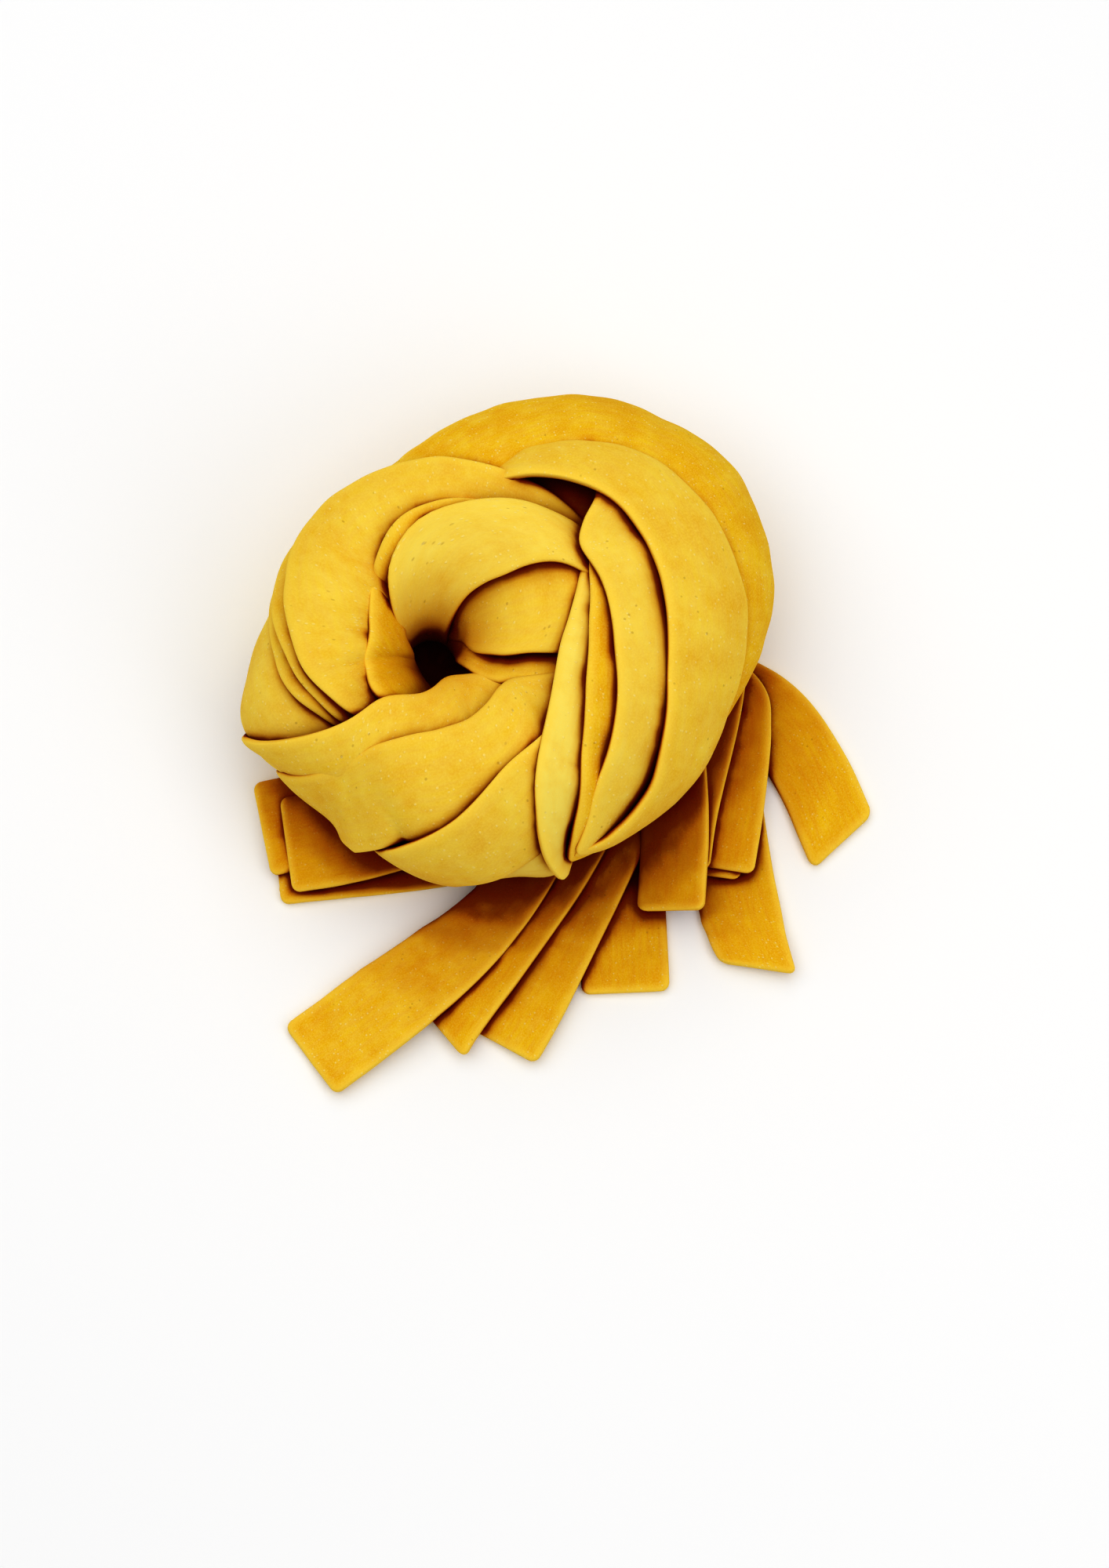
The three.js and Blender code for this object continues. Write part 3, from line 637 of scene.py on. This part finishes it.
# %% Loose ends on the table
strands["left_end_3"] = on_table([(8, -20, 0), (-21, -26, 0), (-56, -30, 0)])
strands["left_end_1"] = on_table([(2, -11, 1), (-30, -18.5, 1), (-58, -24.5, 1)], width=20)
strands["left_end_2"] = on_table([(8, -12, 2), (-36, -25, 2), (-53.5, -28.2, 1.6)], width=20)
strands["front_end_4"] = on_table([(20, 26, 0), (22.5, -25, 0), (23.5, -48, 0)])
strands["front_end_3"] = on_table([
    (31, 26, 1.2), (25.5, -3, 1.6), (14, -28.5, 1.2), (2, -53, 0.6), (-3.8, -63.4, 0.3)], bank=0.5)
strands["front_end_2"] = on_table([
    (22, 8, 2.3), (10, -20.5, 2.1), (-3.5, -41.5, 1.7), (-14.6, -56.5, 0.9), (-18.3, -62.4, 0.6),
], bank=0.5, width=12, slant=-4)
strands["front_end_1"] = on_table([
    (12, 10, 2.6), (4, -18, 2.6), (-8.5, -39, 1.9), (-24.8, -55, 1.2), (-44.3, -69.8, 0.1),
], bank=0.6, narrowing=[(0, 0.72), (0.48, 0.73), (0.64, 0.9), (0.8, 1), (1, 1)])
strands["right_end_1"] = on_table([
    (40, 20, 0), (43.5, -14, 0), (46.5, -32, 0.2), (47.5, -38, 0.5), (49.4, -45, 0.8),
], bank=0.3, width=16.5, slant=-6.5, narrowing=[(0, 1), (0.8, 1), (1, 0.86)])
strands["right_end_2"] = on_table([
    (24, 30, 0), (42, 21.5, 0), (52, 14, 0), (60, 1.7, 0), (65.5, -11, 0)], width=16, slant=6)
strands["right_end_3"] = on_table([(41, 14, 1), (40.5, -6, 1), (38, -25.4, 1)], width=14)
strands["right_end_4"] = on_table([
    (35, 24, 2.4), (43.3, 15, 2.1), (44.6, 6, 2), (43.2, -9, 2), (40.7, -24.6, 2)])
strands["right_end_5"] = on_table([
    (40, 20, 3.2), (38, 7, 3), (33.5, -12, 3), (31.6, -24, 3)], width=11, bank=0.2)
strands["right_end_6"] = on_table([
    (28, 13, 4), (30.5, 0, 4), (31.3, -16, 3.7), (30.4, -33, 3)], width=13.5, bank=1.3)
print(len(strands), "ribbons so far")

# %% [markdown]
# ## Under the nest
#
# A nest lies on its own ribbons. Nobody sees them, so three flat courses do, instead of a
# bottom with a shape of its own.

# %% Flat courses under the nest
ARC_STATIONS = 7


def table_arc(radius, start, end):
    """Stations on the table round the nest's middle, clockwise from start to end in degrees."""
    turns = np.radians(np.linspace(start, end, ARC_STATIONS))
    return [(MIDDLE[0] + radius * math.cos(a), MIDDLE[1] + radius * math.sin(a), 0) for a in turns]


strands["under_1"] = on_table(table_arc(38, 180, 15))
strands["under_2"] = on_table(table_arc(19, 185, 60), width=15)
strands["under_3"] = on_table([(1, -1, 0), (-22, -4, 0), (-46, -2, 0)], width=16)
print(len(strands), "ribbons in all")

# %% [markdown]
# ## Flour, and the sheets themselves
#
# Some ribbons are dusted with flour much more than others. A material for each would be forty
# to look after; a number for each ribbon keeps one finish for all.

# %% Lay out every ribbon
FLOUR = {  # how much flour clings to a ribbon, 0 to 1; ribbons not named have UNSEEN_FLOUR
    "back_band": 0.15, "left_flank": 0.5, "low_1": 0.2, "low_2": 0.3, "low_3": 0.6, "low_4": 0.5,
    "low_5": 0.4, "low_6": 0.4, "left_3": 0.35, "left_2": 0.35, "left_1": 0.4, "eye_wall": 0.05,
    "swirl_0": 0.2, "swirl_1": 0.6, "swirl_2": 0.4, "swirl_3": 0.3, "gap_floor": 0.0,
    "front_1": 0.4, "front_2": 0.4, "front_3": 0.45, "front_4": 0.9, "right_6": 0.1,
    "right_5": 0.15, "right_4": 0.4, "right_3": 0.55, "right_2": 0.15, "right_1": 0.85,
    "left_end_1": 0.1, "left_end_2": 0.1, "left_end_3": 0.1, "front_end_1": 0.2,
    "front_end_2": 0.05, "front_end_3": 0.1, "front_end_4": 0.05, "right_end_1": 0.05,
    "right_end_2": 0.05, "right_end_3": 0.05, "right_end_4": 0.05, "right_end_5": 0.05,
    "right_end_6": 0.1,
}
UNSEEN_FLOUR = 0.3
PATTERN_SHIFT = 37  # mm of pattern between one ribbon and the next, so that no two look alike
for seed, (name, strand) in enumerate(strands.items()):
    strand["pattern_start"] = PATTERN_SHIFT * seed
    strand["flour"] = FLOUR.get(name, UNSEEN_FLOUR)
skins = {name: ribbon_skins(strand, seed) for seed, (name, strand) in enumerate(strands.items())}
print(len(skins), "ribbons laid out")


# %% [markdown]
# ## The core
#
# Only slits between the ribbons show what is under them. A real nest has more ribbon there;
# a plain closed body of the same dough, a few layers down, gives the same dark gaps.

# %% Core
CORE_INSET = 2.5  # layers
CORE_AROUND = 120  # points round the eye
CORE_ROWS = 60  # rows on the roll itself
CORE_DISC_ROWS = 6  # rows from the edge to the middle of the floor or underside
CORE_LOWEST = -50  # degrees round the roll where the underside starts
EYE_FLOOR = 10  # height
CORE_FLOOR = 1  # height


def core():
    """The roll, pushed in by some layers, closed across the eye's floor and the underside.

    The rows run from the middle of the eye's floor, up its wall, over the crest and down the
    outside to the middle of the underside; each row is a full turn round the eye."""
    theta = np.linspace(0, 2 * math.pi, CORE_AROUND + 1)[:-1]
    phi = np.radians(np.linspace(180, CORE_LOWEST, CORE_ROWS))[:, None]
    skin = roll(theta + 0 * phi, phi + 0 * theta)
    skin = skin - slopes(roll, theta + 0 * phi, phi + 0 * theta)[2] * CORE_INSET * LAYER
    axis = np.array([*EYE, 0])
    share_in = np.linspace(0, 1, CORE_DISC_ROWS)[:, None, None]
    disc = lambda ring, height: axis + (ring - axis) * [1, 1, 0] * share_in + [0, 0, height]
    eye_floor, underside = disc(skin[0], EYE_FLOOR), disc(skin[-1], CORE_FLOOR)
    return np.concatenate([eye_floor[1:], skin, underside[:0:-1]])


def core_faces(count, around):
    """Quads between the rows of the core, and a small flat face at each end."""
    ring = np.arange(count * around).reshape(count, around)
    onward = np.roll(ring, -1, axis=1)
    faces = np.stack([ring[:-1], ring[1:], onward[1:], onward[:-1]], -1).reshape(-1, 4).tolist()
    return np.array(faces + [ring[0].tolist(), ring[-1][::-1].tolist()], object)


core_rows = core()
print("core:", core_rows.shape[0], "rows of", core_rows.shape[1])

# %% [markdown]
# ## How deep in shade each point lies
#
# Light that gets into a crevice has bounced from one yellow face to the next, and each bounce
# takes out more green and blue, so dough deep in a fold looks orange to dark brown. To colour
# that, the scene needs to know how much of its surroundings each point sees. Blender can bake
# it into a picture, but a number at each point needs none. The nest is written into a grid of
# small cells, and from every point feelers go out until they meet a filled cell.

# %% Grid of cells filled by dough
CELL = 0.8  # mm
GRID_LOW = np.array([-80, -80, -5])
GRID_SIZE = np.array([160, 160, 65])
GRID_SHAPE = np.ceil(GRID_SIZE / CELL).astype(int)


def cell_of(points):
    """Index of the cell that holds each point, kept inside the grid."""
    index = ((points - GRID_LOW) / CELL).astype(int)
    return tuple(np.clip(index, 0, GRID_SHAPE - 1).T)


def inside_core(points):
    """Whether each point is inside the core: its section round the roll is two half ellipses."""
    flat = points[..., :2] - EYE
    theta, r = np.arctan2(flat[..., 1], flat[..., 0]), np.hypot(flat[..., 0], flat[..., 1])
    far, inset = reach(theta), CORE_INSET * LAYER
    half_width = (far - EYE_RADIUS) / 2 - inset
    crest = CREST + CREST_SWING * np.cos(theta - math.radians(CREST_SIDE))
    up = points[..., 2] - WAIST
    half_height = np.where(up > 0, crest - WAIST, WAIST - FOOT) - inset
    return ((r - (far + EYE_RADIUS) / 2) / half_width) ** 2 + (up / half_height) ** 2 < 1


def fill_cells():
    """True for each cell that a ribbon passes or that is inside the core.

    The points of a ribbon's two skins and its middle sheet are marked, and those half way to
    the next point, so that no cell between two points is missed."""
    centres = GRID_LOW + (np.stack(np.indices(GRID_SHAPE), -1) + 0.5) * CELL
    filled = inside_core(centres)
    for top, bottom, *_ in skins.values():
        for share in (0, 0.5, 1):
            sheet = top * (1 - share) + bottom * share
            for grid in (sheet, (sheet[1:] + sheet[:-1]) / 2):
                filled[cell_of(grid.reshape(-1, 3))] = True
                filled[cell_of(((grid[:, 1:] + grid[:, :-1]) / 2).reshape(-1, 3))] = True
    return filled


filled = fill_cells()
print("cells:", filled.size, "of which filled", int(filled.sum()))

# %% Feelers
FEELERS = 110
SKY = (-0.17, 0.47, 0.87)  # where most of the light comes from: high up, behind and to the left
GLOW = 0.16  # light from every side, next to that light
GRAZING = 0.12  # cosine under which a feeler would only graze the ribbon that it starts from
FEELER_ROOT = 1.1  # mm off the skin, so that a feeler doesn't meet its own ribbon
FEELER_STEPS = [0.5, 1.2, 2, 3, 4.2, 5.6, 7.4, 9.5, 12, 15, 19, 24, 30, 37]  # mm


def sphere_directions(count):
    """Directions spread evenly over a sphere, on a spiral that turns by the golden angle."""
    k = np.arange(count)
    z = 1 - (2 * k + 1) / count
    turn = k * math.pi * (3 - math.sqrt(5))
    flat = np.sqrt(1 - z * z)
    return np.stack([flat * np.cos(turn), flat * np.sin(turn), z], -1)


def openness(points, normals):
    """Share of the light that finds its way to each point.

    A direction counts by its cosine to the normal, and by the square of how near it lies to
    the brightest part of the sky, plus a little glow from every side."""
    seen, total = np.zeros(len(points)), np.zeros(len(points))
    for direction in sphere_directions(FEELERS):
        cosine = normals @ direction
        near = np.flatnonzero(cosine > GRAZING)
        weight = cosine * (GLOW + max(direction @ SKY, 0) ** 2)
        roots = points[near] + FEELER_ROOT * normals[near]
        free = np.ones(len(near), bool)
        for step in FEELER_STEPS:
            free &= ~filled[cell_of(roots + step * direction)]
        seen[near] += weight[near] * free
        total[near] += weight[near]
    return seen / np.maximum(total, 1e-6)


def shade_of(skin, outward):
    """Openness over one skin, averaged with its neighbours so that the cells don't show.

    A point counts twice and each of its four neighbours once."""
    normal = unit(np.cross(np.gradient(skin, axis=0), np.gradient(skin, axis=1))) * outward
    seen = openness(skin.reshape(-1, 3), normal.reshape(-1, 3)).reshape(skin.shape[:2])
    padded = np.pad(seen, 1, mode="edge")
    sides = padded[:-2, 1:-1] + padded[2:, 1:-1] + padded[1:-1, :-2] + padded[1:-1, 2:]
    return (sides + 2 * seen) / 6


shades = {name: (shade_of(skin[0], 1), shade_of(skin[1], -1)) for name, skin in skins.items()}
print("mean openness:", round(float(np.mean([upper.mean() for upper, _ in shades.values()])), 2))

# %% [markdown]
# ## From arrays to objects
#
# Each ribbon becomes a closed mesh at the origin, with its place in its points. The core gets
# the same attributes, because it has the same finish; it has no cut edge, so it is told that
# the nearest one is far away.

# %% Make the meshes
NO_CUT = 9.0  # mm
ribbons = [
    ribbon("ribbon_" + name, strand, skins[name], shades[name]) for name, strand in strands.items()]
core_shape = core_rows.shape[:2]
core_values = {name: np.zeros(core_shape) for name in ("along", "across", "depth", "flour")}
core_values["cut"] = np.full(core_shape, NO_CUT)
core_values["open"] = shade_of(core_rows, 1)
nest_core = make_mesh("core", core_rows, core_faces(*core_shape), core_values)
print(len(ribbons), "ribbons,", sum(2 * len(piece.data.polygons) for piece in ribbons), "triangles")

# %% [markdown]
# ## Shader maths as plain expressions
#
# A finish is a web of nodes, which could be clicked together by hand. It is easier to read
# as sums and products. The first class wraps one output socket, and adding or multiplying two
# of them adds the Math node that does it. The second one has a method that adds any other.


# %% A small language for nodes
class Value:
    """One output socket, with the operators that the finish needs."""

    def __init__(self, finish, socket):
        self.finish, self.socket = finish, socket

    def math(self, operation, other, flip=False):
        pair = [other, self] if flip else [self, other]
        return self.finish.node("ShaderNodeMath", {"operation": operation}, dict(enumerate(pair)))

    def __add__(self, other): return self.math("ADD", other)
    def __radd__(self, other): return self.math("ADD", other, True)
    def __sub__(self, other): return self.math("SUBTRACT", other)
    def __rsub__(self, other): return self.math("SUBTRACT", other, True)
    def __mul__(self, other): return self.math("MULTIPLY", other)
    def __rmul__(self, other): return self.math("MULTIPLY", other, True)


class Finish:
    """A material under construction."""

    def __init__(self, name):
        self.material = bpy.data.materials.new(name)
        self.material.use_nodes = True
        self.tree = self.material.node_tree
        self.tree.nodes.clear()

    def node(self, kind, settings=None, inputs=None, output=0):
        """Adds a node: its settings first, then a value or a link for each input given."""
        made = self.tree.nodes.new(kind)
        for key, value in (settings or {}).items():
            if key == "stops":
                ramp = made.color_ramp.elements
                for i, (place, colour) in enumerate(value):
                    stop = ramp[i] if i < 2 else ramp.new(place)
                    stop.position, stop.color = place, colour
            else:
                setattr(made, key, value)
        for key, value in (inputs or {}).items():
            if isinstance(value, Value):
                self.tree.links.new(value.socket, made.inputs[key])
            else:
                made.inputs[key].default_value = value
        return Value(self, made.outputs[output]) if made.outputs else None

    def attribute(self, name):
        """A number that the mesh carries at each of its points."""
        return self.node("ShaderNodeAttribute", {"attribute_name": name}, output="Fac")

    def noise(self, where, size, detail=3, rough=0.55):
        """Smooth random pattern from 0 to 1, whose lumps are about size millimetres."""
        return self.node("ShaderNodeTexNoise", {}, {
            "Vector": where, "Scale": 1 / size, "Detail": detail, "Roughness": rough})

    def specks(self, where, apart, rare, crowd):
        """Round specks, one for each knot of a random net with knots about apart mm apart.

        Each knot draws a number from 0 to 1 and keeps its speck if that beats rare, which is
        easier where the pattern crowd is high. A speck is full up to 0.2 of a cell from its
        knot and gone at 0.36."""
        distance, draw = (
            self.node("ShaderNodeTexVoronoi", {}, {"Vector": where, "Scale": 1 / apart}, output=name)
            for name in ("Distance", "Color"))
        draw = self.node("ShaderNodeSeparateColor", {}, {0: draw})
        kept = self.between(draw + 0.5 * crowd - 0.25, rare, rare + 0.03)
        return kept * self.between(distance, 0.36, 0.2)

    def between(self, value, low, high):
        """0 below low, 1 above high, and a straight ramp between."""
        return self.node("ShaderNodeMapRange", {"clamp": True}, {
            "Value": value, "From Min": low, "From Max": high})

    def mix(self, share, first, second, blend="MIX"):
        """First colour with a share of the second one laid over it."""
        return self.node("ShaderNodeMix", {"data_type": "RGBA", "blend_type": blend}, {
            0: share, 6: first, 7: second}, output=2)

    def close(self, inputs):
        """The finished material, with these inputs on its surface shader."""
        shader = self.node("ShaderNodeBsdfPrincipled", {}, inputs)
        self.node("ShaderNodeOutputMaterial", {}, {"Surface": shader})
        return self.material


print("node helpers ready")


# %% [markdown]
# ## Dried egg dough
#
# The dough is a deep egg yellow, matte and finely grained. A film of flour makes its faces
# paler in patches, coarse semolina sits on it as pale specks, and a few bran specks are dark.
# Along each cut edge a pale band is painted: partly flour caught on the cut, partly a painted
# highlight where the rounded edge catches the light. A picture of dough would be stretched
# round the bends. These patterns are read in the ribbon's own length, width and depth, so
# they bend with it.


# %% Colours of the dough
def colour(red, green, blue):
    """A display colour, 0 to 255, as the linear numbers that Blender mixes."""
    scaled = np.array([red, green, blue]) / 255
    linear = np.where(scaled <= 0.04045, scaled / 12.92, ((scaled + 0.055) / 1.055) ** 2.4)
    return (*linear.tolist(), 1)


DEEP_YOLK, YOLK, STREAK = colour(230, 172, 8), colour(240, 198, 20), colour(228, 160, 5)
# The pale edge colour on the next line is partly flour on the cut edge and partly a painted
# highlight.
FLOUR_FILM, EDGE_FLOUR_AND_HIGHLIGHT, GRAIN = colour(246, 224, 112), colour(250, 214, 84), colour(252, 222, 95)
SEMOLINA, BRAN = colour(255, 238, 160), colour(120, 70, 10)
# Painted shade: the colour is multiplied by this ramp of openness, so folds, gaps and dough under
# the nest turn orange to dark brown.
BOUNCED = [  # openness, and the shares of red, green and blue that are left after the bounces
    (0, (0.06, 0.003, 0.002, 1)), (0.2, (0.27, 0.035, 0.01, 1)), (0.36, (0.3, 0.09, 0.03, 1)),
    (0.5, (0.63, 0.35, 0.15, 1)), (0.7, (0.86, 0.7, 0.45, 1)), (1, (1, 1, 1, 1)),
]
print("yolk, linear:", [round(part, 3) for part in YOLK[:3]])

# %% Patterns of the dough
PATCH_SIZE, CLOUD_SIZE, STREAK_SIZE, GRAIN_SIZE = 9, 2.2, 0.8, 0.35  # mm
STREAK_SQUEEZE = (0.12, 1, 1)  # squeezing the space lengthwise draws its lumps out to streaks
SEMOLINA_APART, SEMOLINA_RARE = 0.7, 0.8
BRAN_APART, BRAN_RARE = 0.8, 0.985


def dough_patterns(finish):
    """Patches, clouds, streaks, grain, semolina and bran, each a pattern from 0 to 1."""
    where = finish.node("ShaderNodeCombineXYZ", {}, {
        0: finish.attribute("along"), 1: finish.attribute("across"), 2: finish.attribute("depth")})
    squeezed = finish.node("ShaderNodeVectorMath", {"operation": "MULTIPLY"}, {
        0: where, 1: STREAK_SQUEEZE})
    patches = finish.noise(where, PATCH_SIZE, 4)
    return (
        patches,
        finish.noise(where, CLOUD_SIZE, 4),
        finish.noise(squeezed, STREAK_SIZE, 3),
        finish.noise(where, GRAIN_SIZE, 3, 0.7),
        finish.specks(where, SEMOLINA_APART, SEMOLINA_RARE, patches),
        finish.specks(where, BRAN_APART, BRAN_RARE, patches),
    )


print("patterns of", PATCH_SIZE, CLOUD_SIZE, STREAK_SIZE, "and", GRAIN_SIZE, "mm")

# %% [markdown]
# ## Coat over coat
#
# The colour is built like the real thing: yolk yellow first, then each coat over the last one
# with its own share, and painted shade from the light's bounces over them all. The relief
# uses the same patterns, so that a grain that is seen also stands out.

# %% Pasta material
RELIEF = 0.5 * MM  # height of the patterns where they are 1
SHINE = 0.08  # flour leaves next to none


def dough_colour(finish, patches, cloud, streaks, grain, semolina, bran):
    """The dough's colour with painted shade over it; each coat is a share, from 0 to 1, and a
    colour.

    Flour lies where the patterns and the ribbon's own share add up. The pale edge band, partly
    flour on the cut and partly a painted highlight where the rounded edge catches the light, is
    full up to 0.7 mm from the cut and gone at 2.4 mm, and narrower where the cloud pattern is high."""
    flour = patches * 0.5 + cloud * 0.5 + streaks * 0.3 + finish.attribute("flour")
    # Pale band along each cut edge: partly flour, partly a painted highlight on the rounded edge.
    edge_flour_and_highlight = finish.between(finish.attribute("cut") + cloud * 1.2, 2.4, 0.7)
    dough = finish.mix(finish.between(patches, 0.3, 0.7), DEEP_YOLK, YOLK)
    for share, coat in (
        (finish.between(streaks, 0.42, 0.62) * 0.5, STREAK),
        (finish.between(flour, 0.75, 1.55), FLOUR_FILM),
        (edge_flour_and_highlight * 0.7, EDGE_FLOUR_AND_HIGHLIGHT),
        (finish.between(grain, 0.42, 0.66) * 0.4, GRAIN),
        (semolina * 0.4, SEMOLINA),
        (bran * 0.3, BRAN),
    ):
        dough = finish.mix(share, dough, coat)
    # Painted shade, multiplied over all the coats.
    bounced = finish.node("ShaderNodeValToRGB", {"stops": BOUNCED}, {0: finish.attribute("open")})
    return finish.mix(1.0, dough, bounced, "MULTIPLY")


def pasta():
    """Colour, roughness and relief of the dough."""
    finish = Finish("pasta")
    patterns = dough_patterns(finish)
    _, cloud, streaks, grain, semolina, _ = patterns
    relief = finish.node("ShaderNodeBump", {}, {
        "Strength": 0.55, "Distance": RELIEF,
        "Height": grain * 0.12 + cloud * 0.1 + streaks * 0.08 + semolina * 0.2})
    return finish.close({
        "Base Color": dough_colour(finish, *patterns), "Roughness": 0.9 - semolina * 0.2,
        "Normal": relief, "Specular IOR Level": SHINE})


dough_material = pasta()
for piece in [*ribbons, nest_core]:
    piece.data.materials.append(dough_material)
    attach(piece, "root")
    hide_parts("pasta_nest")
print("finish on", len(ribbons) + 1, "pieces")

# %% [markdown]
# ## Light and floor finish
#
# A broad, soft light stands above, a little behind and to the left, and a weaker one fills
# from the front right. A sun lamp's hard shadows would cut the ribbons up. A pale surround
# keeps the shadows open, as in a studio tent, and the contrast look deepens the yellow.

# %% Floor finish, lights and surround
FLOOR_WHITE = (0.95, 0.95, 0.95, 1)
SURROUND_STRENGTH = 0.29


def floor_finish():
    """Plain, nearly white and matte."""
    return Finish("floor").close({"Base Color": FLOOR_WHITE, "Roughness": 0.8})


def soft_light(name, place, size, power):
    """A square area light, with its place and size in millimetres, that faces the nest."""
    data = bpy.data.lights.new(name, "AREA")
    data.size, data.energy = size * MM, power
    light = bpy.data.objects.new(name, data)
    light.location = np.array(place) * MM
    light.rotation_mode = "QUATERNION"
    light.rotation_quaternion = light.location.to_track_quat("Z", "Y")
    bpy.context.scene.collection.objects.link(light)


ground.data.materials.append(floor_finish())
soft_light("key", (-120, 180, 900), size=1500, power=6)
soft_light("fill", (550, -350, 600), size=600, power=0.9)
world = bpy.data.worlds.new("surround")
world.use_nodes = True
surround = world.node_tree.nodes["Background"].inputs
surround["Color"].default_value = (1, 1, 1, 1)
surround["Strength"].default_value = SURROUND_STRENGTH
bpy.context.scene.world = world
bpy.context.scene.view_settings.view_transform = "Standard"
bpy.context.scene.view_settings.look = "High Contrast"
print("lights set")
